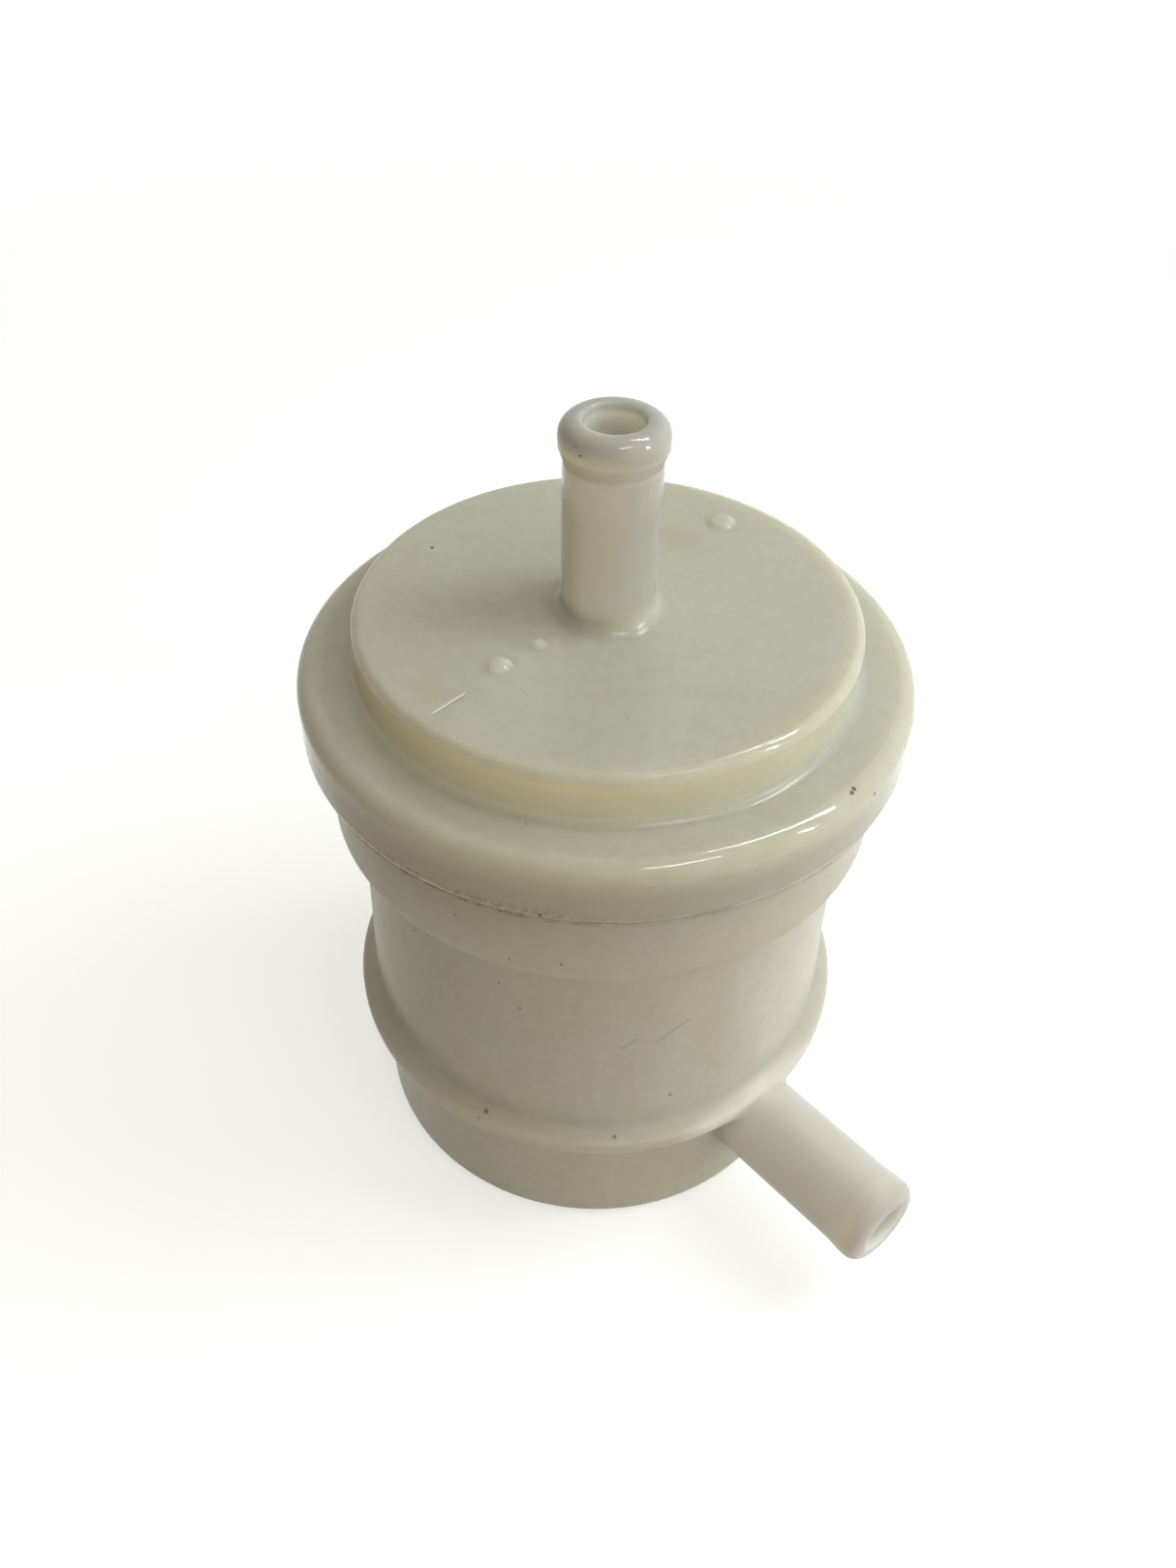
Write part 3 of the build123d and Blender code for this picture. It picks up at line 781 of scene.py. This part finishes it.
def add_floor(stage):
    """A pale floor that reads as white and keeps the filter's shadow."""
    bpy.ops.object.select_all(action="DESELECT")
    bpy.ops.mesh.primitive_plane_add(size=stage.floor_size, location=(0, 0, FLOOR_HEIGHT))
    floor = bpy.context.object
    floor.name = "floor"
    finish = Finish.of("floor_paper")
    dim = finish.node("ShaderNodeBsdfDiffuse", (), {"Color": (*stage.floor_dim, 1)})["BSDF"]
    lit = finish.node("ShaderNodeBsdfDiffuse", (), {"Color": (*stage.floor_lit, 1)})["BSDF"]
    glow = finish.node("ShaderNodeEmission", (), {"Color": (*WHITE, 1), "Strength": stage.floor_glow})["Emission"]
    paper = finish.node("ShaderNodeAddShader", (), {0: lit, 1: glow})["Shader"]
    blank = finish.node("ShaderNodeEmission", (), {"Color": (*WHITE, 1), "Strength": 1.0})["Emission"]
    x, y, _ = finish.apart()
    away = finish.fade(finish.hypotenuse(x, y), stage.floor_near, stage.floor_far)
    pale = finish.node("ShaderNodeMixShader", (), {0: away, 1: paper, 2: blank})["Shader"]
    surface = finish.node("ShaderNodeMixShader", (), {0: seen(finish), 1: dim, 2: pale})["Shader"]
    finish.node("ShaderNodeOutputMaterial", (), {"Surface": surface})
    floor.data.materials.append(finish.owner)


def add_room(scene, stage):
    """Soft light from all round, stronger from the window's side, behind a white background."""
    room = Finish(bpy.data.worlds.new("room"))
    scene.world = room.owner
    direction = room.node("ShaderNodeTexCoord")["Generated"]
    window = towards(stage.camera_azimuth + stage.room_turn, stage.room_rise)
    facing = room.vector("DOT_PRODUCT", {0: direction, 1: window})
    shade = room.mix(room.fade(facing, -0.6, 1.0), stage.room_dark, stage.room_light)
    soft = room.node("ShaderNodeBackground", (), {"Color": shade})["Background"]
    white = room.node("ShaderNodeBackground", (), {"Color": (*WHITE, 1)})["Background"]
    surface = room.node("ShaderNodeMixShader", (), {0: seen(room), 1: soft, 2: white})["Shader"]
    room.node("ShaderNodeOutputWorld", (), {"Surface": surface})


def towards(turn, rise):
    """A unit vector from its turn about the axis and its rise above the horizon."""
    return Vector((math.cos(turn) * math.cos(rise), math.sin(turn) * math.cos(rise), math.sin(rise)))


def add_lamp(name, azimuth, elevation, distance, size, watts, tint, stage, along):
    """An area lamp that faces the case; azimuth 0 is the camera's right hand, 90 is behind the case."""
    away = towards(stage.camera_azimuth + math.radians(azimuth), math.radians(elevation))
    across = away.cross(towards(stage.camera_azimuth + math.radians(along), 0)).normalized()
    data = bpy.data.lights.new(name, "AREA")
    data.shape = "RECTANGLE"
    data.size, data.size_y = size
    data.energy = watts
    data.color = tint
    lamp = bpy.data.objects.new(name, data)
    turn = Matrix((across.cross(away), across, away)).transposed().to_4x4()
    lamp.matrix_world = Matrix.Translation(Vector((0, 0, stage.camera_aim)) + away * distance) @ turn
    bpy.context.scene.collection.objects.link(lamp)
    return lamp


def add_lamps(stage):
    """A window close by on the right and three broad fills; the panes only show as reflections on the gloss."""
    for name, azimuth, elevation, distance, size, tint, watts, along in LAMPS:
        lamp = add_lamp(name, azimuth, elevation, distance, size, getattr(stage, watts), tint, stage, along)
        lamp.visible_glossy = False
    for name, azimuth, elevation, size, part, along in PANES:
        pane = add_lamp(name, azimuth, elevation, PANE_DISTANCE, size, part * stage.gleam, WHITE, stage, along)
        pane.visible_diffuse = False


def add_camera(scene, stage):
    """The camera, close to the filter and well above it."""
    rise = stage.camera_elevation
    turn = Matrix.Rotation(stage.camera_azimuth, 4, "Z")
    line = Vector((0, math.cos(rise), -math.sin(rise)))
    aim = Vector((stage.camera_side, 0, stage.camera_aim))
    data = bpy.data.cameras.new("camera")
    data.lens = stage.camera_lens
    data.clip_start, data.clip_end = CLIP
    camera = bpy.data.objects.new("camera", data)
    right = Vector((1, 0, 0))
    up = right.cross(line)
    pose = Matrix((right, up, -line)).transposed().to_4x4()
    pose = Matrix.Translation(aim - line * stage.camera_distance) @ pose @ Matrix.Rotation(stage.camera_roll, 4, "Z")
    camera.matrix_world = turn @ pose
    scene.collection.objects.link(camera)
    scene.camera = camera


class FILTER_PT_panel(bpy.types.Panel):
    """Lists the filter's steps"""

    bl_idname = "FILTER_PT_panel"
    bl_label = "Fuel Filter"
    bl_space_type = "VIEW_3D"
    bl_region_type = "UI"
    bl_category = "Fuel Filter"

    def draw(self, context):
        for step in STEPS:
            self.layout.operator(step.bl_idname)


STEPS = (FILTER_OT_case, FILTER_OT_element, FILTER_OT_weld, FILTER_OT_scar, FILTER_OT_stage)
SETTINGS = {
    "filter_case": CaseSettings,
    "filter_element": ElementSettings,
    "filter_weld": WeldSettings,
    "filter_marks": MarkSettings,
    "filter_stage": StageSettings,
}


def register():
    for cls in (*SETTINGS.values(), *STEPS, FILTER_PT_panel):
        bpy.utils.register_class(cls)
    for name, cls in SETTINGS.items():
        setattr(bpy.types.Scene, name, PointerProperty(type=cls))


def unregister():
    for name in SETTINGS:
        delattr(bpy.types.Scene, name)
    for cls in reversed((*SETTINGS.values(), *STEPS, FILTER_PT_panel)):
        bpy.utils.unregister_class(cls)


def main():
    """Builds everything in order."""
    register()
    bpy.ops.filter.case()
    bpy.ops.filter.element()
    bpy.ops.filter.weld()
    bpy.ops.filter.scar()
    bpy.ops.filter.stage()


if __name__ == "__main__":
    main()
